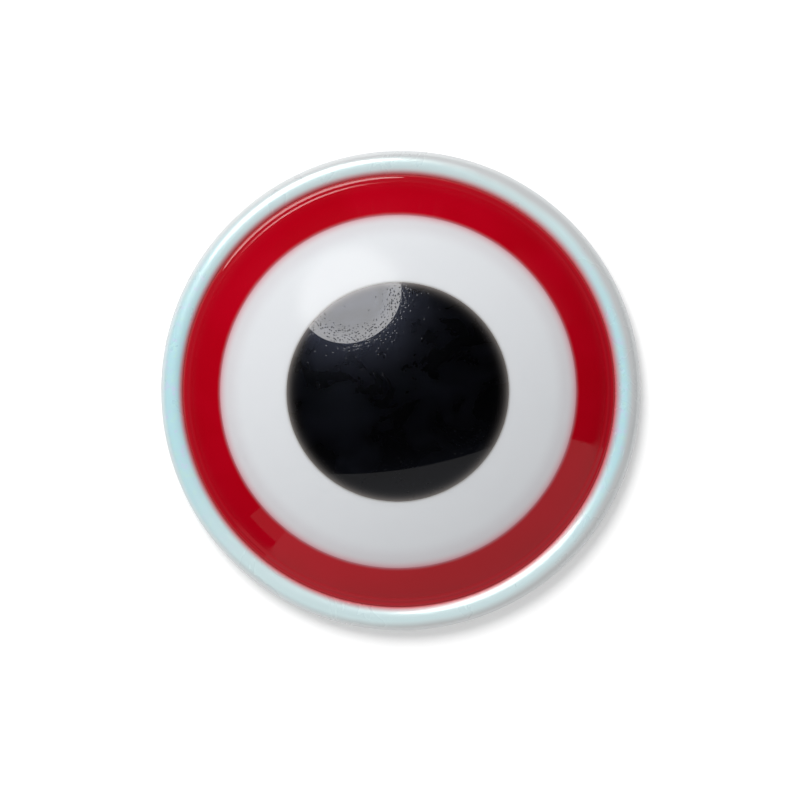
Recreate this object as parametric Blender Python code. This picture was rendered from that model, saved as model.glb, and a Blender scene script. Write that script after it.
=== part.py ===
"""Evil eye ornament: a domed eye of three glass layers, bonded into a pearl dish with a magnet behind.

It lies on its back at Z = 0 and looks up +Z. Every piece is turned, so it is laid up as rings of points.
The white and the pupil were set by hand and sit a little off centre, so each ring has a centre of its own.
"""

from math import asin, cos, degrees, pi, radians, sin, sqrt, tan

import bmesh
import bpy
from mathutils import Vector

MM = 0.001

# Widths, from the middle of the eye outwards
PUPIL_DIAMETER = 27.1 * MM
WHITE_RING_WIDTH = 8.4 * MM
RED_RING_WIDTH = 3.8 * MM
STEPPED_EDGE_WIDTH = 1.25 * MM
RIM_INNER_WIDTH = 1.2 * MM
RIM_OUTER_WIDTH = 1.65 * MM

# Heights of the eye
DOME_HEIGHT = 9.4 * MM
EYE_SIDE_HEIGHT = 0.5 * MM
RED_FLOOR = 2.3 * MM
WHITE_FLOOR = 2.4 * MM
EYE_BACK_CHAMFER = 0.3 * MM

# Slopes in degrees over the stepped edge, at shares of its width: two soft benches and the falls outside them
INNER_BENCH = (0.28, 25.0)
FALL_BETWEEN = (0.51, 40.0)
OUTER_BENCH = (0.72, 18.0)
LAST_FALL = (1.0, 50.0)

# The dish
RECESS_ROOF = 0.8 * MM
RIM_ABOVE_SIDE = 0.6 * MM
RIM_INNER_CURVE = 1.75 * MM
RIM_OUTER_DROP = 1.5 * MM
FOOT_EDGE_WIDTH = 0.9 * MM

# Bonding and the magnet
EYE_ADHESIVE_THICKNESS = 0.25 * MM
EYE_ADHESIVE_INSET = 1.5 * MM
MAGNET_DIAMETER = 40.0 * MM
MAGNET_THICKNESS = 0.7 * MM
MAGNET_CHAMFER = 0.15 * MM
MAGNET_ADHESIVE_THICKNESS = 0.2 * MM
MAGNET_ADHESIVE_INSET = 1.0 * MM

# Clearances
SEAT_CLEARANCE = 0.15 * MM
LAYER_GAP = 0.1 * MM
BOND_GAP = 0.05 * MM
RECESS_CLEARANCE = 0.25 * MM

# How far the hand-laid pieces sit off the middle of the dish
BASE_CENTRE = Vector((0.0, 0.0))
SEAT_CENTRE = Vector((-0.25, -0.03)) * MM
WHITE_CENTRE = Vector((-0.34, -0.13)) * MM
PUPIL_CENTRE = Vector((-0.38, -0.19)) * MM

# Facets
SEGMENTS = 64
DOME_STEPS = 5
BOWL_STEPS = 4
CURVE_STEPS = 4
STEPPED_EDGE_STEPS = 12
SHARP_ANGLE = radians(35)

# Radii that follow from the widths
PUPIL_RADIUS = PUPIL_DIAMETER / 2
WHITE_RADIUS = PUPIL_RADIUS + WHITE_RING_WIDTH
DOME_EDGE_RADIUS = WHITE_RADIUS + RED_RING_WIDTH
EYE_RADIUS = DOME_EDGE_RADIUS + STEPPED_EDGE_WIDTH
SEAT_RADIUS = EYE_RADIUS + SEAT_CLEARANCE
RIM_RADIUS = SEAT_RADIUS + RIM_INNER_WIDTH
BASE_RADIUS = RIM_RADIUS + RIM_OUTER_WIDTH
MAGNET_RADIUS = MAGNET_DIAMETER / 2

# Levels that follow from the heights, from the back upwards
RECESS_LEVEL = MAGNET_THICKNESS + MAGNET_ADHESIVE_THICKNESS + 2 * BOND_GAP
SEAT_LEVEL = RECESS_LEVEL + RECESS_ROOF
EYE_BACK_LEVEL = SEAT_LEVEL + EYE_ADHESIVE_THICKNESS + 2 * BOND_GAP
SIDE_LEVEL = EYE_BACK_LEVEL + EYE_SIDE_HEIGHT
RIM_LEVEL = SIDE_LEVEL + RIM_ABOVE_SIDE
WHITE_BOTTOM_LEVEL = EYE_BACK_LEVEL + RED_FLOOR + LAYER_GAP
PUPIL_BOTTOM_LEVEL = WHITE_BOTTOM_LEVEL + WHITE_FLOOR + LAYER_GAP

# The dome is part of a sphere
DOME_RADIUS = (DOME_EDGE_RADIUS**2 + DOME_HEIGHT**2) / (2 * DOME_HEIGHT)
DOME_EDGE_SLOPE = degrees(asin(DOME_EDGE_RADIUS / DOME_RADIUS))


def share(index, steps):
    return index / steps


def stepped_edge():
    """(distance out, depth) points from the edge of the dome over the two benches to the eye's side."""
    slopes = ((0.0, DOME_EDGE_SLOPE), INNER_BENCH, FALL_BETWEEN, OUTER_BENCH, LAST_FALL)
    fine = 8
    width = STEPPED_EDGE_WIDTH / (STEPPED_EDGE_STEPS * fine)
    depth = 0.0
    points = []
    for index in range(STEPPED_EDGE_STEPS * fine):
        across = share(index + 0.5, STEPPED_EDGE_STEPS * fine)
        before = max(slope for slope in slopes if slope[0] <= across)
        after = min(slope for slope in slopes if slope[0] > across)
        part = (1 - cos(pi * (across - before[0]) / (after[0] - before[0]))) / 2
        depth += width * tan(radians(before[1] + part * (after[1] - before[1])))
        if index % fine == fine - 1:
            points.append((width * (index + 1), depth))
    return points


STEPPED_EDGE = stepped_edge()
DOME_EDGE_LEVEL = SIDE_LEVEL + STEPPED_EDGE[-1][1]
DOME_TOP_LEVEL = DOME_EDGE_LEVEL + DOME_HEIGHT


def dome_level(spot):
    """Height of the eye's face at a place in plan."""
    away = (spot - SEAT_CENTRE).length
    return DOME_TOP_LEVEL - DOME_RADIUS + sqrt(DOME_RADIUS**2 - away**2)


def on_dome(inner, outer, steps, skip_first=True):
    """Rings on the eye's face between two (radius, centre) circles."""
    (inner_radius, inner_centre), (outer_radius, outer_centre) = inner, outer
    rings = []
    for index in range(1 if skip_first else 0, steps + 1):
        part = share(index, steps)
        radius = inner_radius + part * (outer_radius - inner_radius)
        rings.append((radius, dome_level, inner_centre.lerp(outer_centre, part)))
    return rings


def in_bowl(edge_radius, bottom_level, centre, steps):
    """Rings of a round-bottomed bowl below the eye's face, from its middle out to just short of its edge."""
    edge_level = dome_level(SEAT_CENTRE + Vector((edge_radius, 0.0)))
    depth = edge_level - bottom_level
    curve_radius = (edge_radius**2 + depth**2) / (2 * depth)
    rings = []
    for index in range(1, steps):
        radius = edge_radius * share(index, steps)
        level = bottom_level + curve_radius - sqrt(curve_radius**2 - radius**2)
        rings.append((radius, level, centre))
    return rings


def quarter(corner, width, height, start, end, steps):
    """(radius, level) points on an ellipse about a corner point, between two angles in degrees."""
    points = []
    for index in range(steps + 1):
        angle = radians(start + share(index, steps) * (end - start))
        points.append((corner[0] + width * cos(angle), corner[1] + height * sin(angle)))
    return points


def ring_edges(verts):
    """The edges that join a ring's points to each other."""
    ring = set(verts)
    return [edge for edge in {e for v in verts for e in v.link_edges} if set(edge.verts) <= ring]


def place_ring(verts, old_centre, radius, level, centre):
    """Moves a ring of points to its radius, level and centre. A level can be a height or a function of the place."""
    for vert in verts:
        outward = (vert.co.xy - old_centre).normalized()
        spot = centre + outward * radius
        height = level(spot) if callable(level) else level
        vert.co = (spot.x, spot.y, height)


def cap(bm, verts, level, centre):
    """Closes a ring with a fan of triangles to one point."""
    face = bmesh.ops.contextual_create(bm, geom=ring_edges(verts))["faces"]
    (pole,) = bmesh.ops.poke(bm, faces=face)["verts"]
    height = level(centre) if callable(level) else level
    pole.co = (centre.x, centre.y, height)


def laid_up(name, top, rings, bottom, material):
    """A closed solid: top pole, rings from there round the outside, and bottom pole. Poles are (level, centre)."""
    bm = bmesh.new()
    verts = bmesh.ops.create_circle(bm, segments=SEGMENTS, radius=1.0)["verts"]
    centre = Vector((0.0, 0.0))
    place_ring(verts, centre, *rings[0])
    centre = rings[0][2]
    cap(bm, verts, *top)
    edges = ring_edges(verts)
    for ring in rings[1:]:
        grown = bmesh.ops.extrude_edge_only(bm, edges=edges)["geom"]
        verts = [part for part in grown if isinstance(part, bmesh.types.BMVert)]
        edges = [part for part in grown if isinstance(part, bmesh.types.BMEdge)]
        place_ring(verts, centre, *ring)
        centre = ring[2]
    cap(bm, verts, *bottom)
    bmesh.ops.recalc_face_normals(bm, faces=bm.faces)
    mesh = bpy.data.meshes.new(name)
    bm.to_mesh(mesh)
    bm.free()
    mesh.shade_smooth()
    mesh.set_sharp_from_angle(angle=SHARP_ANGLE)
    mesh.materials.append(material)
    piece = bpy.data.objects.new(name, mesh)
    bpy.context.scene.collection.objects.link(piece)
    return piece


def principled(name, colour, roughness, metallic=0.0, coat=0.0):
    material = bpy.data.materials.new(name)
    material.use_nodes = True
    shader = material.node_tree.nodes["Principled BSDF"]
    shader.inputs["Base Color"].default_value = (*colour, 1.0)
    shader.inputs["Roughness"].default_value = roughness
    shader.inputs["Metallic"].default_value = metallic
    shader.inputs["Coat Weight"].default_value = coat
    return material


def disc(name, radius, lower, upper, chamfer, centre, material):
    """A flat disc, chamfered on both edges when it has a chamfer."""
    if chamfer:
        sides = [
            (radius - chamfer, upper),
            (radius, upper - chamfer),
            (radius, lower + chamfer),
            (radius - chamfer, lower),
        ]
    else:
        sides = [(radius, upper), (radius, lower)]
    rings = [(*point, centre) for point in sides]
    return laid_up(name, (upper, centre), rings, (lower, centre), material)


def build_pupil():
    """The black lens: its face on the dome, its underside a bowl."""
    material = principled("black_glass", (0.004, 0.004, 0.006), 0.06)
    face = on_dome((0.0, PUPIL_CENTRE), (PUPIL_RADIUS, PUPIL_CENTRE), DOME_STEPS)
    bowl = in_bowl(PUPIL_RADIUS, PUPIL_BOTTOM_LEVEL, PUPIL_CENTRE, BOWL_STEPS)
    top = (dome_level, PUPIL_CENTRE)
    bottom = (PUPIL_BOTTOM_LEVEL, PUPIL_CENTRE)
    laid_up("black_glass_pupil", top, face + bowl[::-1], bottom, material)


def build_white_layer():
    """The white lens: a bowl on top for the pupil, then its ring on the dome, then its own underside."""
    material = principled("white_opal_glass", (0.82, 0.83, 0.84), 0.08)
    hollow_radius = PUPIL_RADIUS + LAYER_GAP
    hollow_level = PUPIL_BOTTOM_LEVEL - LAYER_GAP
    hollow = in_bowl(hollow_radius, hollow_level, PUPIL_CENTRE, BOWL_STEPS)
    inner, outer = (hollow_radius, PUPIL_CENTRE), (WHITE_RADIUS, WHITE_CENTRE)
    face = on_dome(inner, outer, DOME_STEPS, skip_first=False)
    bowl = in_bowl(WHITE_RADIUS, WHITE_BOTTOM_LEVEL, WHITE_CENTRE, BOWL_STEPS)
    top = (hollow_level, PUPIL_CENTRE)
    bottom = (WHITE_BOTTOM_LEVEL, WHITE_CENTRE)
    laid_up("white_glass_layer", top, hollow + face + bowl[::-1], bottom, material)


def build_red_body():
    """The body of the eye: a bowl on top for the white, then the red ring, its stepped edge, and a flat back."""
    material = principled("red_glass", (0.45, 0.0, 0.012), 0.08)
    hollow_radius = WHITE_RADIUS + LAYER_GAP
    hollow_level = WHITE_BOTTOM_LEVEL - LAYER_GAP
    hollow = in_bowl(hollow_radius, hollow_level, WHITE_CENTRE, BOWL_STEPS)
    inner, outer = (hollow_radius, WHITE_CENTRE), (DOME_EDGE_RADIUS, SEAT_CENTRE)
    face = on_dome(inner, outer, DOME_STEPS, skip_first=False)
    side = [(DOME_EDGE_RADIUS + out, DOME_EDGE_LEVEL - depth) for out, depth in STEPPED_EDGE]
    side += [
        (EYE_RADIUS, EYE_BACK_LEVEL + EYE_BACK_CHAMFER),
        (EYE_RADIUS - EYE_BACK_CHAMFER, EYE_BACK_LEVEL),
    ]
    side = [(*point, SEAT_CENTRE) for point in side]
    top = (hollow_level, WHITE_CENTRE)
    bottom = (EYE_BACK_LEVEL, SEAT_CENTRE)
    laid_up("red_glass_body", top, hollow + face + side, bottom, material)


def build_base():
    """The pearl dish: a flat seat, a wall that rises into a rounded rim, a foot and a recess for the magnet."""
    material = principled("pearl_lustre", (0.50, 0.64, 0.68), 0.15, coat=0.6)
    corner = (RIM_RADIUS, RIM_LEVEL - RIM_INNER_CURVE)
    steepest = degrees(asin(RIM_INNER_WIDTH / RIM_INNER_CURVE))
    inner_rim = quarter(corner, RIM_INNER_CURVE, RIM_INNER_CURVE, 90 + steepest, 90, CURVE_STEPS)
    corner = (RIM_RADIUS, RIM_LEVEL - RIM_OUTER_DROP)
    outer_rim = quarter(corner, RIM_OUTER_WIDTH, RIM_OUTER_DROP, 90, 0, 2 * CURVE_STEPS)[1:]
    widest_level = RIM_LEVEL - RIM_OUTER_DROP
    corner = (BASE_RADIUS - FOOT_EDGE_WIDTH, widest_level)
    foot_edge = quarter(corner, FOOT_EDGE_WIDTH, widest_level, 0, -90, CURVE_STEPS)[1:]
    recess_radius = MAGNET_RADIUS + RECESS_CLEARANCE
    rings = [(SEAT_RADIUS, SEAT_LEVEL, SEAT_CENTRE)]
    rings += [(*point, SEAT_CENTRE) for point in inner_rim]
    for radius, level in outer_rim:
        outward = (radius - RIM_RADIUS) / RIM_OUTER_WIDTH
        rings.append((radius, level, SEAT_CENTRE.lerp(BASE_CENTRE, outward)))
    rings += [(*point, BASE_CENTRE) for point in foot_edge]
    rings += [(recess_radius, 0.0, BASE_CENTRE), (recess_radius, RECESS_LEVEL, BASE_CENTRE)]
    top = (SEAT_LEVEL, SEAT_CENTRE)
    bottom = (RECESS_LEVEL, BASE_CENTRE)
    laid_up("pearl_base", top, rings, bottom, material)


def build_bonding():
    """The clear disc under the eye and the film behind the magnet."""
    clear = principled("clear_epoxy", (0.75, 0.74, 0.68), 0.2)
    radius = EYE_RADIUS - EYE_ADHESIVE_INSET
    lower = SEAT_LEVEL + BOND_GAP
    upper = lower + EYE_ADHESIVE_THICKNESS
    disc("eye_adhesive", radius, lower, upper, 0.0, SEAT_CENTRE, clear)
    film = principled("acrylic_film", (0.70, 0.70, 0.66), 0.5)
    radius = MAGNET_RADIUS - MAGNET_ADHESIVE_INSET
    lower = MAGNET_THICKNESS + BOND_GAP
    upper = lower + MAGNET_ADHESIVE_THICKNESS
    disc("magnet_adhesive", radius, lower, upper, 0.0, BASE_CENTRE, film)


def build_magnet():
    material = principled("magnet_rubber", (0.03, 0.03, 0.032), 0.6)
    disc("magnet_disc", MAGNET_RADIUS, 0.0, MAGNET_THICKNESS, MAGNET_CHAMFER, BASE_CENTRE, material)


def main():
    for leftover in list(bpy.data.objects):
        bpy.data.objects.remove(leftover)
    build_pupil()
    build_white_layer()
    build_red_body()
    build_base()
    build_bonding()
    build_magnet()


main()
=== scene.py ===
"""Evil eye ornament: the fire-polished glass eye, its pearl dish and a small studio.

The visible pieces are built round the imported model, in metres and in its own frame: the back lies at
Z = 0 and the eye looks up +Z.
"""

import math
from typing import NamedTuple

import bmesh
import bpy
from bpy.props import FloatProperty, FloatVectorProperty, IntProperty, PointerProperty
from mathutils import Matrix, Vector, noise


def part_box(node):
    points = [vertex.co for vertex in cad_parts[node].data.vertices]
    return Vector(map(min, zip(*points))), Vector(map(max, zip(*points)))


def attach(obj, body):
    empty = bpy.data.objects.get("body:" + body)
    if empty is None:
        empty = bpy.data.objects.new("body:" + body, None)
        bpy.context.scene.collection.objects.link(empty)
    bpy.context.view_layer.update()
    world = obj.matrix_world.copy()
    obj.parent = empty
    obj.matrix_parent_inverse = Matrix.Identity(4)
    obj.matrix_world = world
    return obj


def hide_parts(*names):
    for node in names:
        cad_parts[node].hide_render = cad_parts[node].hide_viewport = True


bl_info = {
    "name": "Evil Eye Ornament",
    "version": (1, 0, 0),
    "blender": (4, 5, 0),
    "location": "3D View > Sidebar > Evil Eye",
    "description": "Makes the glass eye, its pearl dish, the parts behind it and a small studio",
    "category": "Object",
}

MM = 0.001

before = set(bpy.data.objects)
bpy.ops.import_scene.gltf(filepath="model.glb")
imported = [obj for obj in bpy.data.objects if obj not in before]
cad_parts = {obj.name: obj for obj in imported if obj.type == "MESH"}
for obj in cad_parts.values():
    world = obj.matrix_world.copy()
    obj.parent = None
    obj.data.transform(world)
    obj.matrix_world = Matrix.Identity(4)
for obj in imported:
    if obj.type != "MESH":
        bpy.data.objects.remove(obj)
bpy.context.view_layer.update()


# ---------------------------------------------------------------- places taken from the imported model


class TurnedNode(NamedTuple):
    """A turned node's middle in plan, its radius, and its lowest and highest levels."""

    centre: Vector
    radius: float
    low: float
    high: float


def turned_node(name):
    low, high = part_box(name)
    return TurnedNode((low.xy + high.xy) / 2, (high.x - low.x) / 2, low.z, high.z)


DISH = turned_node("pearl_base")
EYE = turned_node("red_glass_body")
WHITE = turned_node("white_glass_layer")
PUPIL = turned_node("black_glass_pupil")
EYE_BOND = turned_node("eye_adhesive")
MAGNET = turned_node("magnet_disc")
MAGNET_BOND = turned_node("magnet_adhesive")


# ---------------------------------------------------------------- settings


def length(name, text, millimetres):
    return FloatProperty(name=name, description=text, default=millimetres * MM, unit="LENGTH", precision=5)


def share(name, text, default):
    return FloatProperty(name=name, description=text, default=default, subtype="FACTOR", min=0.0, max=1.0)


def number(name, text, default):
    return FloatProperty(name=name, description=text, default=default)


def angle(name, text, degrees):
    return FloatProperty(name=name, description=text, default=math.radians(degrees), unit="ROTATION")


def colour(name, text, default):
    return FloatVectorProperty(
        name=name, description=text, default=default, subtype="COLOR", size=3, min=0.0, max=1.0
    )


class EyeShapeSettings(bpy.types.PropertyGroup):
    """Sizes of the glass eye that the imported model's boxes don't give."""

    round_steps: IntProperty(name="Steps Round", description="Faces round each turned piece", default=256)
    hairline: length("Hairline", "What is left open between two fused layers at the face", 0.004)
    layer_gap: length("Layer Gap", "Gap between the packed glass layers", 0.1)
    dome_height: length("Dome Height", "Rise of the dome above its edge", 9.4)
    edge_width: length("Edge Width", "Stepped edge, from the dome to the eye's side", 1.25)
    first_bench: angle("First Bench", "Slope of the inner bench of the stepped edge", 25.0)
    first_bench_place: share("First Bench Place", "Where the inner bench lies across the edge", 0.28)
    between_benches: angle("Between Benches", "Slope of the fall between the two benches", 40.0)
    between_place: share("Between Benches Place", "Where that fall lies across the edge", 0.51)
    second_bench: angle("Second Bench", "Slope of the outer bench", 18.0)
    second_bench_place: share("Second Bench Place", "Where the outer bench lies across the edge", 0.72)
    last_fall: angle("Last Fall", "Slope where the edge meets the eye's side", 50.0)
    back_chamfer: length("Back Chamfer", "Chamfer round the eye's back", 0.3)
    white_flattening: share("White Out of Round", "Share by which the white layer is out of round", 0.0046)
    pupil_flattening: share("Pupil Out of Round", "Share by which the pupil is out of round", 0.0078)
    flattening_turn: angle("Long Way", "Direction in which the hand-laid layers are longest", 10.0)


class EyeColourSettings(bpy.types.PropertyGroup):
    """Colours of the glass."""

    red: colour("Red", "Body of the eye", (0.385, 0.0006, 0.0085))
    red_deep: colour("Deep Red", "Denser streaks in the red", (0.36, 0.0004, 0.0065))
    # This colour is a painted reflection: the stepped edge is made lighter as if its steep slope mirrored the
    # bright surroundings.
    red_edge_reflection: colour("Red Edge", "Red where it thins out on the stepped edge", (0.375, 0.0055, 0.0135))
    red_seam: colour("Red Seam", "Red where it meets the pearl", (0.40, 0.055, 0.06))
    red_over_white: colour("Red Over White", "Red where it thins out over the white", (0.40, 0.17, 0.20))
    white: colour("White", "Opal layer", (0.665, 0.68, 0.70))
    white_over_red: colour("White Over Red", "White where it thins out over the red", (0.60, 0.22, 0.25))
    # This colour is partly the white thinning over the red and partly painted shade, darker towards the red.
    white_thinned_and_shaded: colour("White Thinned", "White where the layer thins towards the red", (0.42, 0.34, 0.37))
    white_over_black: colour("White Over Black", "White where the pupil shows through it", (0.42, 0.41, 0.40))
    black: colour("Black", "Pupil", (0.0006, 0.0006, 0.0007))
    black_haze: colour("Black Haze", "Faint cloudy patches in the pupil", (0.0011, 0.0011, 0.0018))
    black_over_white: colour("Black Over White", "Pupil where it thins out", (0.17, 0.155, 0.145))


class DishSettings(bpy.types.PropertyGroup):
    """Sizes and colours of the pearl dish."""

    seam: length("Seam", "Hairline between the eye and the rim", 0.01)
    bond_gap: length("Bond Gap", "Gap on each side of a bond", 0.05)
    recess_clearance: length("Recess Clearance", "Gap round the magnet", 0.25)
    rim_outer_width: length("Rim Outer Width", "From the top of the rim to the dish's side", 1.65)
    rim_outer_drop: length("Rim Outer Drop", "Depth of the rim's outer shoulder", 1.5)
    rim_inner_curve: length("Rim Inner Curve", "Radius of the rim's inner shoulder", 1.75)
    foot_edge_width: length("Foot Edge Width", "Width of the rounded lower edge", 0.9)
    foot_edge_height: length("Foot Edge Height", "Height of the rounded lower edge", 1.75)
    edge_round: length("Edge Round", "Radius on the recess's edges", 0.12)
    waviness: length("Waviness", "How far the hand-finished rim wanders", 0.03)
    flank_inset: length("Flank Inset", "From the dish's side to where its grey flank starts", 0.9)
    flank_blend: length("Flank Blend", "Width over which the flank sets in", 0.8)
    dull_inset: length("Dull Inset", "From the dish's side to where the polish starts to fade", 0.55)
    dull_end_inset: length("Dull End Inset", "From the dish's side to where the polish has faded", 0.1)
    lacquer: share("Lacquer", "Strength of the lacquer over the pearl", 0.6)
    aqua: colour("Aqua", "Main colour of the pearl", (0.45, 0.71, 0.77))
    mint: colour("Mint", "Green flakes in the pearl", (0.48, 0.74, 0.72))
    lilac: colour("Lilac", "Violet flakes in the pearl", (0.54, 0.64, 0.80))
    # This colour is a painted sheen: the pearl is made paler towards +Y and -Y, the sides that the lamp and
    # the card shine from.
    pale: colour("Pale", "Pearl where it has flowed thinner", (0.60, 0.75, 0.77))
    flank: colour("Flank", "Pearl where the pigment thins on the outer shoulder", (0.53, 0.545, 0.555))
    # This colour is painted reflection of the red glass and painted shade on the pearl beside the seam.
    red_bounce_and_shade: colour("Blush", "Pearl tinted by the red glass beside it", (0.60, 0.06, 0.08))


class StudioSettings(bpy.types.PropertyGroup):
    """Camera, lamp, card and floor."""

    camera_height: length("Camera Height", "Height of the camera above the back of the ornament", 558.0)
    camera_aside: length("Camera Aside", "Place of the camera along X", -0.10)
    camera_along: length("Camera Along", "Place of the camera along Y", -1.18)
    lens: number("Lens", "Focal length in millimetres on a 36 mm wide sensor", 200.0)
    lamp_distance: length("Lamp Distance", "From the middle of the ornament to the lamp", 1500.0)
    lamp_bearing: angle("Lamp Bearing", "Direction of the lamp in plan, from +X towards +Y", 117.0)
    lamp_tilt: angle("Lamp Tilt", "Angle of the lamp from straight above", 40.3)
    lamp_spread: angle("Lamp Spread", "Half the angle that the lamp covers", 18.0)
    lamp_light: number("Lamp Light", "Brightness of the light that the lamp casts", 8.15)
    lamp_face: number("Lamp Face", "Brightness of the lamp's face as mirrored in the glass", 6.4)
    lamp_rim: number("Lamp Rim", "How much brighter the lamp's face is near its rim", 1.25)
    card_light: number("Card Light", "Brightness of the dim card", 0.42)
    card_distance: length("Card Distance", "From the middle of the ornament to the card", 500.0)
    card_bearing: angle("Card Bearing", "Direction that the card stands in", 279.5)
    card_left: angle("Card Left", "Bearing of the card's left edge", 231.0)
    card_fold: angle("Card Fold", "Bearing of the left edge of the card's dimmer flap", 220.0)
    card_right: angle("Card Right", "Bearing of the card's right edge", 344.5)
    card_rise: angle("Card Rise", "Angle of the card's upper edge from straight above", 29.0)
    card_fade: share("Card Fade", "Brightness of the card's top as a share of its foot's", 0.76)
    flap_light: share("Flap Light", "Brightness of the flap as a share of the card's", 0.6)
    panel_distance: length("Panel Distance", "From the middle of the ornament to the faint panels", 600.0)
    panel_soft_height: length("Panel Soft Height", "Height over which a panel's lower edge fades", 120.0)
    fill_light: number("Fill Light", "Brightness of the soft light from all round", 0.45)
    bounce_light: number("Bounce Light", "Brightness of the broad light behind the card", 1.7)
    bounce_bearing: angle("Bounce Bearing", "Direction of the broad light in plan", 270.0)
    bounce_tilt: angle("Bounce Tilt", "Angle of the broad light from straight above", 58.0)
    bounce_distance: length("Bounce Distance", "From the middle of the ornament to the broad light", 1400.0)
    bounce_radius: length("Bounce Radius", "Radius of the broad light", 420.0)
    floor_glow: number("Floor Glow", "Brightness of the light that comes through the pale floor", 0.14)
    floor_level: length("Floor Level", "Height of the floor", -0.05)
    floor_radius: length("Floor Radius", "Radius of the floor", 3000.0)


SETTINGS = {
    "eye_shape": EyeShapeSettings,
    "eye_colours": EyeColourSettings,
    "dish": DishSettings,
    "studio": StudioSettings,
}


# ---------------------------------------------------------------- turned pieces


class Dome(NamedTuple):
    """The sphere that the eye's face is part of."""

    centre: Vector
    radius: float
    top: float
    edge_radius: float

    def level(self, spot):
        away = (spot - self.centre).length
        return self.top - self.radius + math.sqrt(self.radius**2 - away**2)

    def edge_tilt(self):
        return math.asin(self.edge_radius / self.radius)


def eye_dome(shape):
    edge_radius = EYE.radius - shape.edge_width
    radius = (edge_radius**2 + shape.dome_height**2) / (2 * shape.dome_height)
    return Dome(EYE.centre, radius, PUPIL.high, edge_radius)


class Lay(NamedTuple):
    """How a ring was laid: the middle that it is round, and how far it is out of round."""

    centre: Vector
    flattening: float = 0.0

    def towards(self, other, part):
        flattening = self.flattening + part * (other.flattening - self.flattening)
        return Lay(self.centre.lerp(other.centre, part), flattening)


class Station(NamedTuple):
    """A point of a turned profile. On the dome its level is measured from the dome."""

    radius: float
    level: float
    lay: Lay
    on_dome: bool = False
    from_inner: float = 1.0
    from_outer: float = 1.0


def face_stations(inner, outer, inner_lay, outer_lay, steps):
    """Stations on the eye's face between two radii, closer together near both ends."""
    stations = []
    for index in range(steps + 1):
        part = (1 - math.cos(math.pi * index / steps)) / 2
        radius = inner + part * (outer - inner)
        lay = inner_lay.towards(outer_lay, part)
        stations.append(Station(radius, 0.0, lay, True, radius - inner, outer - radius))
    return stations


def bowl_stations(edge_radius, edge_level, bottom_level, lay, steps=16):
    """Stations of a round bowl below the face, from its middle out to just short of its edge."""
    depth = edge_level - bottom_level
    curve_radius = (edge_radius**2 + depth**2) / (2 * depth)
    stations = []
    for index in range(steps):
        radius = edge_radius * index / steps
        level = bottom_level + curve_radius - math.sqrt(curve_radius**2 - radius**2)
        stations.append(Station(radius, level, lay))
    return stations


def shoulder(corner_radius, corner_level, width, height, start, end, steps):
    """(radius, level) points on a quarter of an ellipse, between two angles in degrees."""
    points = []
    for index in range(steps + 1):
        turn = math.radians(start + (end - start) * index / steps)
        points.append((corner_radius + width * math.cos(turn), corner_level + height * math.sin(turn)))
    return points


def stepped_edge(shape, dome, steps=48):
    """(radius, level) points from the dome down over the two benches to the eye's side."""
    tilts = (
        (0.0, dome.edge_tilt()),
        (shape.first_bench_place, shape.first_bench),
        (shape.between_place, shape.between_benches),
        (shape.second_bench_place, shape.second_bench),
        (1.0, shape.last_fall),
    )
    radius, level = dome.edge_radius, dome.level(dome.centre + Vector((dome.edge_radius, 0.0)))
    points = []
    for index in range(steps):
        across = (index + 0.5) / steps
        before = max(tilt for tilt in tilts if tilt[0] <= across)
        after = min(tilt for tilt in tilts if tilt[0] > across)
        part = (1 - math.cos(math.pi * (across - before[0]) / (after[0] - before[0]))) / 2
        tilt = before[1] + part * (after[1] - before[1])
        radius += shape.edge_width / steps
        level -= math.tan(tilt) * shape.edge_width / steps
        points.append((radius, level))
    return points


def rounded(points, radius, steps=4):
    """The points of a polygon line with each inner corner rounded by an arc."""
    made = [points[0]]
    for before, corner, after in zip(points, points[1:], points[2:]):
        corner = Vector(corner)
        start = corner + (Vector(before) - corner).normalized() * radius
        end = corner + (Vector(after) - corner).normalized() * radius
        for index in range(steps + 1):
            part = index / steps
            made.append(tuple(start.lerp(corner, part).lerp(corner.lerp(end, part), part)))
    made.append(points[-1])
    return made


def lay_out(vert, layers, dome, long_way, wander):
    """Moves a spun point to where its ring was laid."""
    reach = vert.co.xy.length
    bearing = math.atan2(vert.co.y, vert.co.x)
    reach *= 1 + vert[layers["flattening"]] * math.cos(2 * (bearing - long_way))
    centre = vert[layers["centre"]].xy
    spot = centre + Vector((math.cos(bearing), math.sin(bearing))) * reach
    level = vert.co.z
    if vert[layers["on_dome"]] > 0.5:
        level += dome.level(spot)
    vert.co = (spot.x, spot.y, level)
    if wander:
        vert.co += wander(vert.co)


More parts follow.
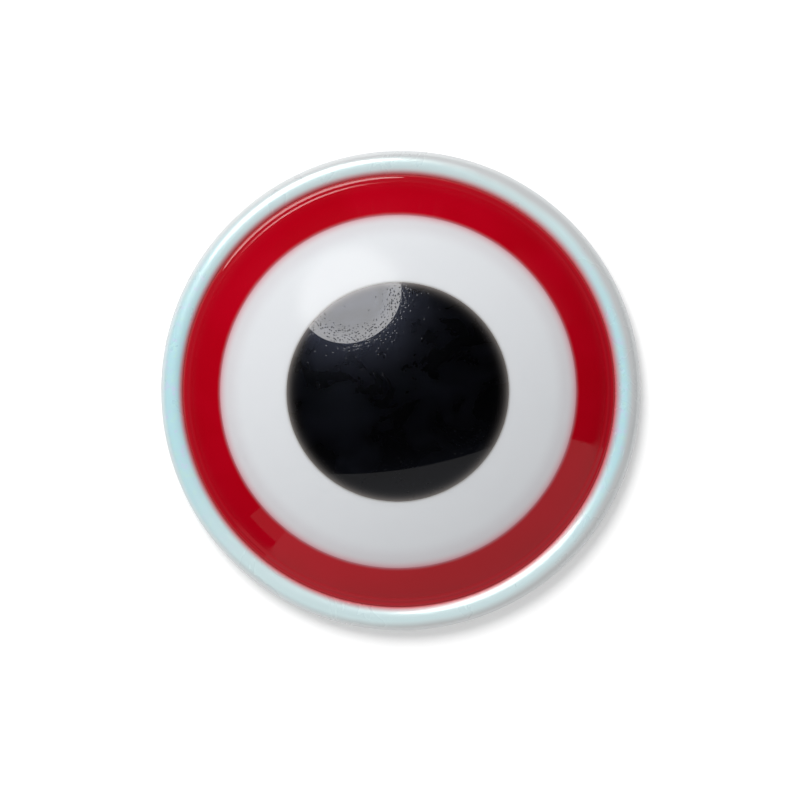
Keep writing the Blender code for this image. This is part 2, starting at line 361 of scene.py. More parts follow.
def turn(name, stations, shape, material, wander=None):
    """Spins a profile into a closed piece, then lays each ring where it belongs."""
    bm = bmesh.new()
    numbers = bm.verts.layers.float
    layers = {key: numbers.new(key) for key in ("flattening", "on_dome", "from_inner", "from_outer")}
    layers["centre"] = bm.verts.layers.float_vector.new("centre")
    profile = []
    for station in stations:
        vert = bm.verts.new((station.radius, 0.0, station.level))
        vert[layers["centre"]] = station.lay.centre.to_3d()
        vert[layers["flattening"]] = station.lay.flattening
        vert[layers["on_dome"]] = float(station.on_dome)
        vert[layers["from_inner"]] = station.from_inner / MM
        vert[layers["from_outer"]] = station.from_outer / MM
        profile.append(vert)
    edges = [bm.edges.new(pair) for pair in zip(profile, profile[1:])]
    bmesh.ops.spin(
        bm, geom=profile + edges, axis=(0, 0, 1), cent=(0, 0, 0), angle=math.tau,
        steps=shape.round_steps, use_merge=True,
    )
    bmesh.ops.remove_doubles(bm, verts=bm.verts[:], dist=0.0001 * MM)
    dome = eye_dome(shape)
    for vert in bm.verts:
        lay_out(vert, layers, dome, shape.flattening_turn, wander)
    bmesh.ops.recalc_face_normals(bm, faces=bm.faces[:])
    for key in ("flattening", "on_dome"):
        numbers.remove(numbers[key])
    bm.verts.layers.float_vector.remove(bm.verts.layers.float_vector["centre"])
    mesh = bpy.data.meshes.new(name)
    bm.to_mesh(mesh)
    bm.free()
    mesh.shade_smooth()
    mesh.set_sharp_from_angle(angle=math.radians(40))
    mesh.materials.append(material)
    piece = bpy.data.objects.new(name, mesh)
    bpy.context.scene.collection.objects.link(piece)
    return piece


def settle(piece, node):
    """The piece rides with the ornament and stands for its plain node."""
    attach(piece, "root")
    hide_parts(node)


# ---------------------------------------------------------------- node trees

# Where the pearl's grey flank is centred, and the band along Y over which a painted sheen makes the pearl
# paler.
FLANK_MIDDLE = (-0.56 * MM, -0.2 * MM, 0.0)
SHEEN_PALE_START, SHEEN_PALE_END, SHEEN_PALE_DRIFT = 6.0 * MM, 27.0 * MM, 4.0 * MM

# The ring of pits in the pupil: its middle, and the distances over which it sets in and dies out.
SWIRL_MIDDLE = (-6.0 * MM, 12.2 * MM, 0.0)
SWIRL_INNER = (4.0 * MM, 5.0 * MM)
SWIRL_OUTER = (7.9 * MM, 6.4 * MM)

class Nodes:
    """Adds nodes to a material or a group, and joins them as they are added."""

    def __init__(self, tree):
        self.tree = tree

    def add(self, kind, inputs=None, **settings):
        made = self.tree.nodes.new(kind)
        made.location = (200 * (len(self.tree.nodes) % 12), -240 * (len(self.tree.nodes) // 12))
        for name, value in settings.items():
            setattr(made, name, value)
        for name, value in (inputs or {}).items():
            self.feed(made.inputs[name], value)
        return made

    def feed(self, socket, value):
        if isinstance(value, bpy.types.NodeSocket):
            self.tree.links.new(value, socket)
        elif socket.type == "RGBA" and len(value) == 3:
            socket.default_value = (*value, 1.0)
        else:
            socket.default_value = value

    def maths(self, operation, *values, clamp=False):
        made = self.add("ShaderNodeMath", operation=operation, use_clamp=clamp)
        for socket, value in zip(made.inputs, values):
            self.feed(socket, value)
        return made.outputs[0]

    def blend(self, part, first, second):
        """Mixes two colours."""
        made = self.add("ShaderNodeMix", data_type="RGBA")
        for index, value in ((0, part), (6, first), (7, second)):
            self.feed(made.inputs[index], value)
        return made.outputs[2]

    def ramp(self, value, low, high, start=0.0, end=1.0, smooth=True):
        """Maps a value from low..high to start..end, and no further."""
        kind = "SMOOTHSTEP" if smooth else "LINEAR"
        inputs = {"Value": value, "From Min": low, "From Max": high, "To Min": start, "To Max": end}
        return self.add("ShaderNodeMapRange", inputs, interpolation_type=kind).outputs[0]

    def place(self, centre=(0.0, 0.0, 0.0), scale=(1.0, 1.0, 1.0)):
        """Object coordinates from a centre."""
        spot = self.add("ShaderNodeTexCoord").outputs["Object"]
        inputs = {"Vector": spot, "Location": tuple(-c * s for c, s in zip(centre, scale)), "Scale": scale}
        return self.add("ShaderNodeMapping", inputs).outputs[0]

    def away_from(self, centre):
        """Distance in plan from a centre."""
        flat = self.place(centre=centre, scale=(1.0, 1.0, 0.0))
        return self.add("ShaderNodeVectorMath", {0: flat}, operation="LENGTH").outputs["Value"]

    def clouds(self, spot, scale, detail=2.0, roughness=0.5, distortion=0.0):
        inputs = {
            "Vector": spot, "Scale": scale, "Detail": detail, "Roughness": roughness, "Distortion": distortion
        }
        return self.add("ShaderNodeTexNoise", inputs).outputs["Fac"]

    def attribute(self, name):
        return self.add("ShaderNodeAttribute", attribute_name=name).outputs["Fac"]

    def group(self, tree, **inputs):
        """Places a node group. An input is named in lower case with _ for each space."""
        made = self.add("ShaderNodeGroup", node_tree=tree)
        for name, value in inputs.items():
            self.feed(made.inputs[name.replace("_", " ").title()], value)
        return made


def start_group(name, inputs, outputs):
    """An empty node group: its Nodes, its input node's outputs and its output node's inputs."""
    tree = bpy.data.node_groups.new(name, "ShaderNodeTree")
    for key, (kind, default) in inputs.items():
        socket = tree.interface.new_socket(key, in_out="INPUT", socket_type="NodeSocket" + kind)
        socket.default_value = default
    for key, kind in outputs.items():
        tree.interface.new_socket(key, in_out="OUTPUT", socket_type="NodeSocket" + kind)
    nodes = Nodes(tree)
    given = nodes.add("NodeGroupInput").outputs
    result = nodes.add("NodeGroupOutput").inputs
    return nodes, given, result


def bled_edge_group():
    """Colour that one layer takes from its neighbour, near the joint between them. On the pearl it carries
    painted reflection and shade from the red glass.
    """
    grey = (0.5, 0.5, 0.5, 1.0)
    nodes, given, result = start_group(
        "Bled Edge",
        {
            "Colour": ("Color", grey),
            "Bleed": ("Color", grey),
            "Distance": ("Float", 1.0),
            "Reach": ("Float", 0.4),
            "Wander": ("Float", 0.1),
            "Sharpness": ("Float", 1.6),
        },
        {"Colour": "Color"},
    )
    wisps = nodes.clouds(nodes.place(), 700.0, detail=3.0)
    wander = nodes.maths("MULTIPLY", nodes.maths("SUBTRACT", wisps, 0.5), given["Wander"])
    distance = nodes.maths("ADD", given["Distance"], wander)
    left = nodes.maths("SUBTRACT", 1.0, nodes.maths("DIVIDE", distance, given["Reach"]), clamp=True)
    mask = nodes.maths("POWER", left, given["Sharpness"])
    nodes.feed(result["Colour"], nodes.blend(mask, given["Colour"], given["Bleed"]))
    return nodes.tree


def fired_surface_group():
    """Fine pits and slow ripples that fire polishing leaves, as a height in millimetres."""
    nodes, given, result = start_group(
        "Fired Surface",
        {
            "Pit Scale": ("Float", 3600.0),
            "Pit Depth": ("Float", 0.003),
            "Pit Spread": ("Float", 0.5),
            "Ripple Depth": ("Float", 0.002),
        },
        {"Height": "Float"},
    )
    spot = nodes.place()
    cells = nodes.add("ShaderNodeTexVoronoi", {"Vector": spot, "Scale": given["Pit Scale"]})
    pit = nodes.ramp(cells.outputs["Distance"], 0.04, 0.42, 1.0, 0.0)
    chance = nodes.add("ShaderNodeSeparateColor", {"Color": cells.outputs["Color"]}).outputs[0]
    clusters = nodes.clouds(spot, 190.0, detail=3.0, roughness=0.6)
    wanted = nodes.maths("MULTIPLY", nodes.ramp(clusters, 0.30, 0.50), given["Pit Spread"])
    chosen = nodes.maths("LESS_THAN", chance, wanted)
    dent = nodes.maths("MULTIPLY", nodes.maths("MULTIPLY", pit, chosen), given["Pit Depth"])
    ripple = nodes.maths("MULTIPLY", nodes.clouds(spot, 260.0, detail=1.0), given["Ripple Depth"])
    nodes.feed(result["Height"], nodes.maths("SUBTRACT", ripple, dent))
    return nodes.tree


def handled_gloss_group():
    """Roughness of a polished surface that has been touched: clean, with faint cloudy smears."""
    nodes, given, result = start_group(
        "Handled Gloss",
        {
            "Clean": ("Float", 0.03),
            "Smeared": ("Float", 0.12),
            "Scale": ("Float", 120.0),
            "Spread": ("Float", 0.5),
        },
        {"Roughness": "Float"},
    )
    spot = nodes.place(scale=(1.0, 0.6, 1.0))
    smears = nodes.clouds(spot, given["Scale"], detail=4.0, roughness=0.55, distortion=0.6)
    low = nodes.maths("SUBTRACT", 1.0, given["Spread"])
    smears = nodes.maths("SUBTRACT", smears, nodes.maths("MULTIPLY", low, 0.8))
    smears = nodes.maths("MULTIPLY", smears, 3.0, clamp=True)
    extra = nodes.maths("MULTIPLY", smears, nodes.maths("SUBTRACT", given["Smeared"], given["Clean"]))
    nodes.feed(result["Roughness"], nodes.maths("ADD", given["Clean"], extra))
    return nodes.tree


def pearl_flow_group():
    """Colours of pearl pigment: aqua with mint and lilac flakes, a painted sheen paler towards +Y and -Y,
    thinning to a grey flank outside.
    """
    pale = (0.6, 0.6, 0.6, 1.0)
    nodes, given, result = start_group(
        "Pearl Flow",
        {
            "Aqua": ("Color", pale),
            "Mint": ("Color", pale),
            "Lilac": ("Color", pale),
            "Pale": ("Color", pale),
            "Flank": ("Color", pale),
            "Flank Radius": ("Float", 0.029),
            "Flank Blend": ("Float", 0.001),
        },
        {"Colour": "Color"},
    )
    spot = nodes.place()
    flakes = nodes.clouds(spot, 900.0, detail=3.0, roughness=0.6)
    drift = nodes.clouds(spot, 130.0, detail=2.0)
    base = nodes.blend(nodes.ramp(flakes, 0.50, 0.72), given["Aqua"], given["Mint"])
    base = nodes.blend(nodes.ramp(flakes, 0.46, 0.30), base, given["Lilac"])
    aside = nodes.add("ShaderNodeSeparateXYZ", {"Vector": spot}).outputs["Y"]
    aside = nodes.maths("ADD", nodes.maths("ABSOLUTE", aside), nodes.maths("MULTIPLY", drift, SHEEN_PALE_DRIFT))
    # Painted sheen: the pearl is paler towards +Y and -Y, where the lamp and the card shine.
    base = nodes.blend(nodes.ramp(aside, SHEEN_PALE_START, SHEEN_PALE_END), base, given["Pale"])
    uneven = nodes.maths("MULTIPLY", nodes.maths("SUBTRACT", drift, 0.5), 0.7 * MM)
    away = nodes.maths("ADD", nodes.away_from(FLANK_MIDDLE), uneven)
    past = nodes.maths("SUBTRACT", away, given["Flank Radius"])
    flank = nodes.maths("ADD", nodes.maths("DIVIDE", past, given["Flank Blend"]), 0.5, clamp=True)
    nodes.feed(result["Colour"], nodes.blend(flank, base, given["Flank"]))
    return nodes.tree


GROUP_MAKERS = {
    "Bled Edge": bled_edge_group,
    "Fired Surface": fired_surface_group,
    "Handled Gloss": handled_gloss_group,
    "Pearl Flow": pearl_flow_group,
}


def group_tree(name):
    """A node group by name, made when it is first wanted."""
    return bpy.data.node_groups.get(name) or GROUP_MAKERS[name]()


def start_material(name):
    """An empty material: itself, its Nodes and its Principled shader."""
    material = bpy.data.materials.new(name)
    material.use_nodes = True
    nodes = Nodes(material.node_tree)
    return material, nodes, material.node_tree.nodes["Principled BSDF"]


def finish_shader(nodes, shader, **inputs):
    """Feeds the shader's sockets. A socket is named in lower case with _ for each space."""
    names = {socket.name.lower().replace(" ", "_"): socket for socket in shader.inputs}
    for name, value in inputs.items():
        nodes.feed(names[name], value)


def fired_bump(nodes, **inputs):
    """The normal of a fire-polished surface."""
    height = nodes.group(group_tree("Fired Surface"), **inputs).outputs["Height"]
    bump = nodes.add("ShaderNodeBump", {"Height": height, "Strength": 1.0, "Distance": MM})
    return bump.outputs["Normal"]


def red_glass(colours):
    material, nodes, shader = start_material("fired_red_glass")
    streaks = nodes.clouds(nodes.place(scale=(1.0, 1.4, 1.0)), 90.0, detail=2.0, distortion=0.4)
    body = nodes.blend(nodes.ramp(streaks, 0.35, 0.7), colours.red, colours.red_deep)
    from_side = nodes.attribute("from_outer")
    # Painted reflection: the outer part of the stepped edge is lightened as if it mirrored the bright
    # surroundings.
    body = nodes.blend(nodes.ramp(from_side, 1.05, 0.75), body, colours.red_edge_reflection)
    seam = nodes.group(
        group_tree("Bled Edge"), colour=body, bleed=colours.red_seam,
        distance=from_side, reach=0.30, wander=0.06, sharpness=1.5,
    )
    edge = nodes.group(
        group_tree("Bled Edge"), colour=seam.outputs["Colour"], bleed=colours.red_over_white,
        distance=nodes.attribute("from_inner"), reach=0.50, wander=0.10, sharpness=2.5,
    )
    gloss = nodes.group(group_tree("Handled Gloss"), clean=0.03, smeared=0.07, scale=140.0, spread=0.4)
    haze_inside = nodes.ramp(from_side, 2.3, 1.2, 0.0, 0.12)
    haze_outside = nodes.ramp(from_side, 0.55, 0.80)
    hazy = nodes.maths("MULTIPLY", haze_inside, haze_outside)
    roughness = nodes.maths("ADD", gloss.outputs["Roughness"], hazy)
    normal = fired_bump(nodes, pit_depth=0.0012, pit_spread=0.25, ripple_depth=0.002)
    finish_shader(
        nodes, shader, base_color=edge.outputs["Colour"], roughness=roughness, normal=normal, ior=1.5
    )
    return material


def white_glass(colours):
    material, nodes, shader = start_material("fired_white_opal_glass")
    inner = nodes.group(
        group_tree("Bled Edge"), colour=colours.white, bleed=colours.white_over_black,
        distance=nodes.attribute("from_inner"), reach=0.35, wander=0.06, sharpness=2.0,
    )
    outer = nodes.group(
        group_tree("Bled Edge"), colour=inner.outputs["Colour"], bleed=colours.white_over_red,
        distance=nodes.attribute("from_outer"), reach=1.10, wander=0.10, sharpness=2.2,
    )
    thickness = nodes.ramp(nodes.attribute("from_outer"), 0.3, 1.8)
    # Partly painted shade: over 3 mm the white darkens and turns pinkish towards the red, where the layer
    # also thins.
    thinning = nodes.ramp(nodes.attribute("from_outer"), 0.3, 3.0, 0.32, 0.0)
    tone = nodes.blend(thinning, outer.outputs["Colour"], colours.white_thinned_and_shaded)
    gloss = nodes.group(group_tree("Handled Gloss"), clean=0.15, smeared=0.22, scale=110.0, spread=0.5)
    normal = fired_bump(nodes, pit_depth=0.001, pit_spread=0.2, ripple_depth=0.002)
    finish_shader(
        nodes, shader, base_color=tone, roughness=gloss.outputs["Roughness"],
        normal=normal, ior=1.5, specular_ior_level=0.20, subsurface_weight=thickness,
        subsurface_radius=(1.0, 1.0, 1.0), subsurface_scale=1.5 * MM,
    )
    return material


def black_glass(colours):
    material, nodes, shader = start_material("fired_black_glass")
    patches = nodes.clouds(nodes.place(), 220.0, detail=4.0, roughness=0.6, distortion=0.8)
    body = nodes.blend(nodes.ramp(patches, 0.45, 0.75), colours.black, colours.black_haze)
    edge = nodes.group(
        group_tree("Bled Edge"), colour=body, bleed=colours.black_over_white,
        distance=nodes.attribute("from_outer"), reach=3.5, wander=0.06, sharpness=10.0,
    )
    haze = nodes.ramp(patches, 0.35, 0.70, 0.24, 0.42)
    away = nodes.away_from(SWIRL_MIDDLE)
    swirl = nodes.maths("MULTIPLY", nodes.ramp(away, *SWIRL_INNER), nodes.ramp(away, *SWIRL_OUTER))
    spread = nodes.maths("ADD", nodes.maths("MULTIPLY", swirl, 0.9), 0.08)
    normal = fired_bump(nodes, pit_depth=0.014, pit_spread=spread, ripple_depth=0.002)
    finish_shader(
        nodes, shader, base_color=edge.outputs["Colour"], roughness=haze, normal=normal, ior=1.5,
        specular_ior_level=0.24, specular_tint=(0.60, 0.68, 1.0), coat_weight=1.0,
        coat_roughness=0.015, coat_ior=1.5, coat_normal=normal,
    )
    return material


def pearl(dish):
    material, nodes, shader = start_material("pearl_lustre_plastic")
    flow = nodes.group(
        group_tree("Pearl Flow"), aqua=dish.aqua, mint=dish.mint, lilac=dish.lilac, pale=dish.pale,
        flank=dish.flank, flank_radius=DISH.radius - dish.flank_inset, flank_blend=dish.flank_blend,
    )
    # Painted reflection of the red glass and painted shade on the pearl next to the seam.
    seam = nodes.group(
        group_tree("Bled Edge"), colour=flow.outputs["Colour"], bleed=dish.red_bounce_and_shade,
        distance=nodes.attribute("from_inner"), reach=0.85, wander=0.05, sharpness=1.4,
    )
    gloss = nodes.group(group_tree("Handled Gloss"), clean=0.24, smeared=0.34, scale=200.0, spread=0.6)
    normal = fired_bump(nodes, pit_depth=0.0, pit_spread=0.0, ripple_depth=0.004)
    away = nodes.away_from((0.0, 0.0, 0.0))
    polish = nodes.ramp(away, DISH.radius - dish.dull_inset, DISH.radius - dish.dull_end_inset, 1.0, 0.2)
    finish_shader(
        nodes, shader, base_color=seam.outputs["Colour"], roughness=gloss.outputs["Roughness"],
        normal=normal, ior=1.5, coat_weight=nodes.maths("MULTIPLY", polish, dish.lacquer),
        coat_roughness=0.08, coat_ior=1.5, thin_film_thickness=85.0, thin_film_ior=1.7,
    )
    return material


def clear_epoxy():
    material, nodes, shader = start_material("cured_clear_epoxy")
    specks = nodes.clouds(nodes.place(), 900.0, detail=3.0)
    tone = nodes.blend(nodes.ramp(specks, 0.4, 0.7), (0.72, 0.70, 0.63), (0.80, 0.79, 0.74))
    gloss = nodes.group(group_tree("Handled Gloss"), clean=0.12, smeared=0.25, scale=150.0, spread=0.5)
    finish_shader(nodes, shader, base_color=tone, roughness=gloss.outputs["Roughness"], ior=1.55)
    return material


def magnet_rubber():
    material, nodes, shader = start_material("flexible_magnet_rubber")
    spot = nodes.place()
    powder = nodes.clouds(spot, 5200.0, detail=3.0, roughness=0.7)
    wear = nodes.clouds(spot, 260.0, detail=4.0, roughness=0.6)
    tone = nodes.blend(nodes.ramp(powder, 0.4, 0.72), (0.022, 0.021, 0.021), (0.060, 0.057, 0.055))
    tone = nodes.blend(nodes.ramp(wear, 0.6, 0.8, 0.0, 0.5), tone, (0.09, 0.086, 0.082))
    rough = nodes.ramp(powder, 0.3, 0.7, 0.52, 0.72)
    bump = nodes.add("ShaderNodeBump", {"Height": powder, "Strength": 1.0, "Distance": 0.01 * MM})
    finish_shader(nodes, shader, base_color=tone, roughness=rough, normal=bump.outputs["Normal"])
    return material


def acrylic_film():
    material, nodes, shader = start_material("acrylic_bonding_film")
    clouds = nodes.clouds(nodes.place(), 600.0, detail=3.0)
    tone = nodes.blend(clouds, (0.66, 0.66, 0.61), (0.74, 0.74, 0.70))
    rough = nodes.ramp(clouds, 0.3, 0.7, 0.4, 0.6)
    finish_shader(nodes, shader, base_color=tone, roughness=rough)
    return material


# ---------------------------------------------------------------- operators


class EVILEYE_OT_pearl_dish(bpy.types.Operator):
    """Turn the pearl dish: recess, foot, rounded rim and seat"""

    bl_idname = "evileye.pearl_dish"
    bl_label = "Pearl Dish"

    def execute(self, context):
        dish = context.scene.dish
        shape = context.scene.eye_shape
        middle, seat = Lay(DISH.centre), Lay(EYE.centre)
        seam_radius = EYE.radius + dish.seam
        rim_radius = DISH.radius - dish.rim_outer_width
        side_level = DISH.high - dish.rim_outer_drop
        recess_radius = MAGNET.radius + dish.recess_clearance
        recess_level = MAGNET_BOND.high + dish.bond_gap
        seat_level = EYE_BOND.low - dish.bond_gap
        foot_radius = DISH.radius - dish.foot_edge_width
        foot_level = dish.foot_edge_height

        back = [(0.0, recess_level), (recess_radius, recess_level), (recess_radius, 0.0), (foot_radius, 0.0)]
        outside = rounded(back, dish.edge_round)[:-1]
        outside += shoulder(foot_radius, foot_level, dish.foot_edge_width, foot_level, -90, 0, 12)
        outside += shoulder(rim_radius, side_level, dish.rim_outer_width, dish.rim_outer_drop, 0, 90, 32)
        stations = [Station(*point, middle) for point in outside]
        inner_width = rim_radius - seam_radius
        steepest = math.asin(inner_width / dish.rim_inner_curve)
        steps = 24
        for index in range(1, steps + 1):
            tilt = steepest * index / steps
            across = dish.rim_inner_curve * math.sin(tilt)
            level = DISH.high - dish.rim_inner_curve * (1 - math.cos(tilt))
            lay = middle.towards(seat, across / inner_width)
            stations.append(Station(rim_radius - across, level, lay, from_inner=inner_width - across))
        stations += [Station(seam_radius, seat_level, seat), Station(0.0, seat_level, seat)]

        def wander(spot):
            """The hand-finished rim is a little uneven above its side."""
            height = max(0.0, spot.z - side_level) / dish.rim_outer_drop
            slow = noise.noise(Vector((spot.x, spot.y, 0.0)) * 160.0)
            return Vector((0.0, 0.0, -0.5 - 0.5 * slow)) * dish.waviness * height

        piece = turn("pearl_dish", stations, shape, pearl(dish), wander)
        settle(piece, "pearl_base")
        return {"FINISHED"}


class EVILEYE_OT_red_glass(bpy.types.Operator):
    """Turn the red glass body, with its stepped edge"""

    bl_idname = "evileye.red_glass"
    bl_label = "Red Glass Body"

    def execute(self, context):
        shape = context.scene.eye_shape
        dome = eye_dome(shape)
        seat = Lay(EYE.centre)
        white = Lay(WHITE.centre, shape.white_flattening)
        edge_radius = WHITE.radius + (shape.layer_gap + shape.hairline) / 2
        edge_level = dome.level(EYE.centre + Vector((edge_radius, 0.0)))
        hollow_level = WHITE.low - shape.layer_gap
        stations = bowl_stations(edge_radius, edge_level, hollow_level, white)
        face = face_stations(edge_radius, dome.edge_radius, white, seat, 24)
        stations += [station._replace(from_outer=station.from_outer + shape.edge_width) for station in face]
        for radius, level in stepped_edge(shape, dome):
            stations.append(Station(radius, level, seat, from_outer=EYE.radius - radius))
        stations += [
            Station(EYE.radius, EYE.low + shape.back_chamfer, seat),
            Station(EYE.radius - shape.back_chamfer, EYE.low, seat),
            Station(0.0, EYE.low, seat),
        ]
        piece = turn("red_glass_ring", stations, shape, red_glass(context.scene.eye_colours))
        settle(piece, "red_glass_body")
        return {"FINISHED"}


class EVILEYE_OT_white_glass(bpy.types.Operator):
    """Turn the white opal lens that lies in the red glass"""

    bl_idname = "evileye.white_glass"
    bl_label = "White Glass Layer"

    def execute(self, context):
        shape = context.scene.eye_shape
        dome = eye_dome(shape)
        pupil = Lay(PUPIL.centre, shape.pupil_flattening)
        white = Lay(WHITE.centre, shape.white_flattening)
        inner = PUPIL.radius + (shape.layer_gap + shape.hairline) / 2
        outer = WHITE.radius + (shape.layer_gap - shape.hairline) / 2
        inner_level = dome.level(EYE.centre + Vector((inner, 0.0)))
        outer_level = dome.level(EYE.centre + Vector((outer, 0.0)))
        stations = bowl_stations(inner, inner_level, PUPIL.low - shape.layer_gap, pupil)
        stations += face_stations(inner, outer, pupil, white, 40)
        stations += bowl_stations(outer, outer_level, WHITE.low, white)[::-1]
        piece = turn("white_glass_ring", stations, shape, white_glass(context.scene.eye_colours))
        settle(piece, "white_glass_layer")
        return {"FINISHED"}


class EVILEYE_OT_black_pupil(bpy.types.Operator):
    """Turn the black pupil lens that lies in the white glass"""

    bl_idname = "evileye.black_pupil"
    bl_label = "Black Pupil"

    def execute(self, context):
        shape = context.scene.eye_shape
        dome = eye_dome(shape)
        lay = Lay(PUPIL.centre, shape.pupil_flattening)
        outer = PUPIL.radius + (shape.layer_gap - shape.hairline) / 2
        outer_level = dome.level(EYE.centre + Vector((outer, 0.0)))
        stations = face_stations(0.0, outer, lay, lay, 40)
        stations += bowl_stations(outer, outer_level, PUPIL.low, lay)[::-1]
        piece = turn("black_pupil_lens", stations, shape, black_glass(context.scene.eye_colours))
        settle(piece, "black_glass_pupil")
        return {"FINISHED"}


class EVILEYE_OT_hidden_parts(bpy.types.Operator):
    """Finish the bonds and the magnet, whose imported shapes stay"""

    bl_idname = "evileye.hidden_parts"
    bl_label = "Bonds and Magnet"

    def execute(self, context):
        finishes = {
            "eye_adhesive": clear_epoxy(),
            "magnet_disc": magnet_rubber(),
            "magnet_adhesive": acrylic_film(),
        }
        for name, material in finishes.items():
            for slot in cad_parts[name].material_slots:
                slot.material = material
        return {"FINISHED"}


def bearing_point(bearing, tilt, distance):
    """A point at a bearing in plan and an angle from straight above."""
    flat = math.sin(tilt) * distance
    return Vector((flat * math.cos(bearing), flat * math.sin(bearing), math.cos(tilt) * distance))


def mirrored_only(piece):
    """A stage piece that shows only as a reflection."""
    for ray in ("camera", "diffuse", "transmission", "volume_scatter", "shadow"):
        setattr(piece, "visible_" + ray, False)


def glowing(name):
    """A material that only glows: itself, its Nodes and the emission's strength socket."""
    material = bpy.data.materials.new(name)
    material.use_nodes = True
    material.cycles.emission_sampling = "NONE"
    tree = material.node_tree
    tree.nodes.remove(tree.nodes["Principled BSDF"])
    nodes = Nodes(tree)
    glow = nodes.add("ShaderNodeEmission", {"Color": (1.0, 0.995, 0.985)})
    tree.links.new(glow.outputs[0], tree.nodes["Material Output"].inputs["Surface"])
    return material, nodes, glow.inputs["Strength"]


def stage_object(name, bm, material):
    mesh = bpy.data.meshes.new(name)
    bm.to_mesh(mesh)
    bm.free()
    mesh.materials.append(material)
    piece = bpy.data.objects.new(name, mesh)
    bpy.context.scene.collection.objects.link(piece)
    return piece


class PanelShape(NamedTuple):
    """A faint panel: bearing, half its width, soft edge, tilts of top and foot, in degrees, and light."""

    middle: float
    half: float
    soft: float
    top: float
    foot: float
    light: float


PANELS = {
    "right_panel": PanelShape(36, 16, 3, 60, 77, 0.13),
    "upper_panel": PanelShape(93, 18, 8, 60, 80, 0.12),
    "wide_panel": PanelShape(117, 38, 16, 60, 80, 0.05),
}

# The flap's lower corners, as shares of the card's height, and the levels between which both dim.
FLAP_FOOT = (0.25, 0.19)
CARD_FADING = (0.25, 0.85)


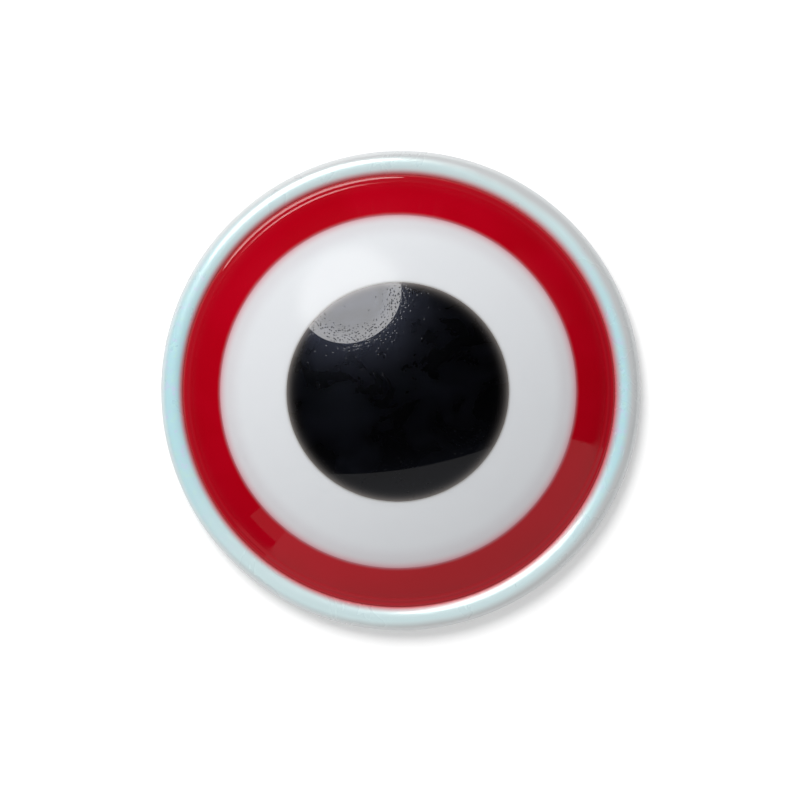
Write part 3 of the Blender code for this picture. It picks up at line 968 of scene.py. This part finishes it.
class EVILEYE_OT_studio(bpy.types.Operator):
    """Set up the camera, the lights, the dim card, the faint panels, the floor and the surroundings"""

    bl_idname = "evileye.studio"
    bl_label = "Studio"

    def execute(self, context):
        studio = context.scene.studio
        context.scene.view_settings.view_transform = "Standard"
        self.camera(context, studio)
        self.lamp(context, studio)
        self.bounce(context, studio)
        self.card(studio)
        for name, shape in PANELS.items():
            self.panel(studio, name, shape)
        self.floor(studio)
        self.surroundings(context, studio)
        return {"FINISHED"}

    def camera(self, context, studio):
        data = bpy.data.cameras.new("camera")
        data.lens = studio.lens
        data.sensor_width = 36.0
        data.clip_start = 0.01
        camera = bpy.data.objects.new("camera", data)
        camera.location = (studio.camera_aside, studio.camera_along, studio.camera_height)
        context.scene.collection.objects.link(camera)
        context.scene.camera = camera

    def soft_light(self, context, name, place, radius, brightness):
        """A round light that the glass doesn't mirror."""
        data = bpy.data.lights.new(name, "AREA")
        data.shape = "DISK"
        data.size = 2 * radius
        data.energy = brightness * math.pi**2 * radius**2
        light = bpy.data.objects.new(name, data)
        light.visible_glossy = False
        light.location = place
        light.rotation_mode = "QUATERNION"
        light.rotation_quaternion = (-place).to_track_quat("-Z", "Y")
        context.scene.collection.objects.link(light)

    def lamp(self, context, studio):
        """A round lamp. One part casts its light, and the other is the bright face that the glass mirrors."""
        radius = studio.lamp_distance * math.tan(studio.lamp_spread)
        place = bearing_point(studio.lamp_bearing, studio.lamp_tilt, studio.lamp_distance)
        self.soft_light(context, "lamp_light", place, radius, studio.lamp_light)
        bm = bmesh.new()
        bmesh.ops.create_circle(bm, cap_ends=True, segments=128, radius=radius)
        material, nodes, strength = glowing("lamp_diffuser")
        away = nodes.add("ShaderNodeVectorMath", {0: nodes.place()}, operation="LENGTH").outputs["Value"]
        outer = nodes.ramp(away, 0.62 * radius, 0.90 * radius, 1.0, studio.lamp_rim)
        nodes.feed(strength, nodes.maths("MULTIPLY", outer, studio.lamp_face))
        face = stage_object("lamp_face", bm, material)
        mirrored_only(face)
        face.location = place
        face.rotation_mode = "QUATERNION"
        face.rotation_quaternion = (-place).to_track_quat("-Z", "Y")

    def bounce(self, context, studio):
        """A broad weak light from the card's side, which opens up the shadows there."""
        place = bearing_point(studio.bounce_bearing, studio.bounce_tilt, studio.bounce_distance)
        self.soft_light(context, "bounce_light", place, studio.bounce_radius, studio.bounce_light)

    def card(self, studio):
        """A flat card below the eye with a straight upper edge, and a dimmer flap on its left."""
        ahead = bearing_point(studio.card_bearing, math.pi / 2, studio.card_distance)
        aside = bearing_point(studio.card_bearing + math.pi / 2, math.pi / 2, studio.card_distance)
        rise = Vector((0.0, 0.0, studio.card_distance / math.tan(studio.card_rise)))
        edges = (studio.card_fold, studio.card_left, studio.card_right)
        fold, left, right = (ahead + aside * math.tan(edge - studio.card_bearing) for edge in edges)
        front = (left, right, right + rise, left + rise)
        flap = (fold + rise * FLAP_FOOT[0], left + rise * FLAP_FOOT[1], left + rise, fold + rise)
        for name, corners, part in (("dim_card", front, 1.0), ("card_flap", flap, studio.flap_light)):
            bm = bmesh.new()
            bmesh.ops.contextual_create(bm, geom=[bm.verts.new(corner) for corner in corners])
            material, nodes, strength = glowing(name)
            height = nodes.add("ShaderNodeSeparateXYZ", {"Vector": nodes.place()}).outputs["Z"]
            light = studio.card_light * part
            nodes.feed(strength, nodes.ramp(height, *CARD_FADING, light, studio.card_fade * light))
            mirrored_only(stage_object(name, bm, material))

    def panel(self, studio, name, shape):
        """A faint upright panel with soft edges, bent round the ornament."""
        middle, half, soft, top, foot = (math.radians(value) for value in shape[:5])
        bm = bmesh.new()
        places = [bearing_point(middle - half, tilt, studio.panel_distance) for tilt in (top, foot)]
        ends = [bm.verts.new(place) for place in places]
        bmesh.ops.spin(
            bm, geom=ends + [bm.edges.new(ends)], axis=(0, 0, 1), cent=(0, 0, 0), angle=2 * half,
            steps=16, use_merge=False,
        )
        material, nodes, strength = glowing(name)
        along = nodes.add("ShaderNodeSeparateXYZ", {"Vector": nodes.place()}).outputs
        bearing = nodes.maths("ARCTAN2", along["Y"], along["X"])
        off = nodes.maths("ABSOLUTE", nodes.maths("SUBTRACT", bearing, middle))
        foot_level = studio.panel_distance * math.cos(foot)
        across = nodes.ramp(off, half, half - soft)
        up = nodes.ramp(along["Z"], foot_level, foot_level + studio.panel_soft_height)
        nodes.feed(strength, nodes.maths("MULTIPLY", nodes.maths("MULTIPLY", across, up), shape.light))
        mirrored_only(stage_object(name, bm, material))

    def floor(self, studio):
        bm = bmesh.new()
        bmesh.ops.create_circle(bm, cap_ends=True, segments=96, radius=studio.floor_radius)
        bmesh.ops.translate(bm, verts=bm.verts[:], vec=(0.0, 0.0, studio.floor_level))
        material, nodes, shader = start_material("pale_floor")
        grain = nodes.clouds(nodes.place(), 300.0, detail=2.0)
        tone = nodes.blend(grain, (0.90, 0.90, 0.90), (0.92, 0.92, 0.92))
        finish_shader(
            nodes, shader, base_color=tone, roughness=0.8, specular_ior_level=0.1,
            emission_color=(1.0, 1.0, 1.0), emission_strength=studio.floor_glow,
        )
        stage_object("floor", bm, material)

    def surroundings(self, context, studio):
        """Pale to the camera, soft light on the ornament, and dark where the glass mirrors it."""
        world = bpy.data.worlds.new("surroundings")
        context.scene.world = world
        world.use_nodes = True
        world.cycles_visibility.glossy = False
        nodes = Nodes(world.node_tree)
        seen = nodes.add("ShaderNodeLightPath").outputs["Is Camera Ray"]
        strength = nodes.ramp(seen, 0.0, 1.0, studio.fill_light, 1.0, smooth=False)
        background = world.node_tree.nodes["Background"]
        nodes.feed(background.inputs["Color"], (1.0, 1.0, 1.0))
        nodes.feed(background.inputs["Strength"], strength)


OPERATORS = (
    EVILEYE_OT_pearl_dish,
    EVILEYE_OT_red_glass,
    EVILEYE_OT_white_glass,
    EVILEYE_OT_black_pupil,
    EVILEYE_OT_hidden_parts,
    EVILEYE_OT_studio,
)


class VIEW3D_PT_evil_eye(bpy.types.Panel):
    """Buttons for each step"""

    bl_label = "Evil Eye Ornament"
    bl_idname = "VIEW3D_PT_evil_eye"
    bl_space_type = "VIEW_3D"
    bl_region_type = "UI"
    bl_category = "Evil Eye"

    def draw(self, context):
        for operator in OPERATORS:
            self.layout.operator(operator.bl_idname)


def register():
    for settings in SETTINGS.values():
        bpy.utils.register_class(settings)
    for name, settings in SETTINGS.items():
        setattr(bpy.types.Scene, name, PointerProperty(type=settings))
    for operator in OPERATORS:
        bpy.utils.register_class(operator)
    bpy.utils.register_class(VIEW3D_PT_evil_eye)


def unregister():
    bpy.utils.unregister_class(VIEW3D_PT_evil_eye)
    for operator in reversed(OPERATORS):
        bpy.utils.unregister_class(operator)
    for name in SETTINGS:
        delattr(bpy.types.Scene, name)
    for settings in SETTINGS.values():
        bpy.utils.unregister_class(settings)


def main():
    register()
    bpy.ops.evileye.pearl_dish()
    bpy.ops.evileye.red_glass()
    bpy.ops.evileye.white_glass()
    bpy.ops.evileye.black_pupil()
    bpy.ops.evileye.hidden_parts()
    bpy.ops.evileye.studio()


if __name__ == "__main__":
    main()
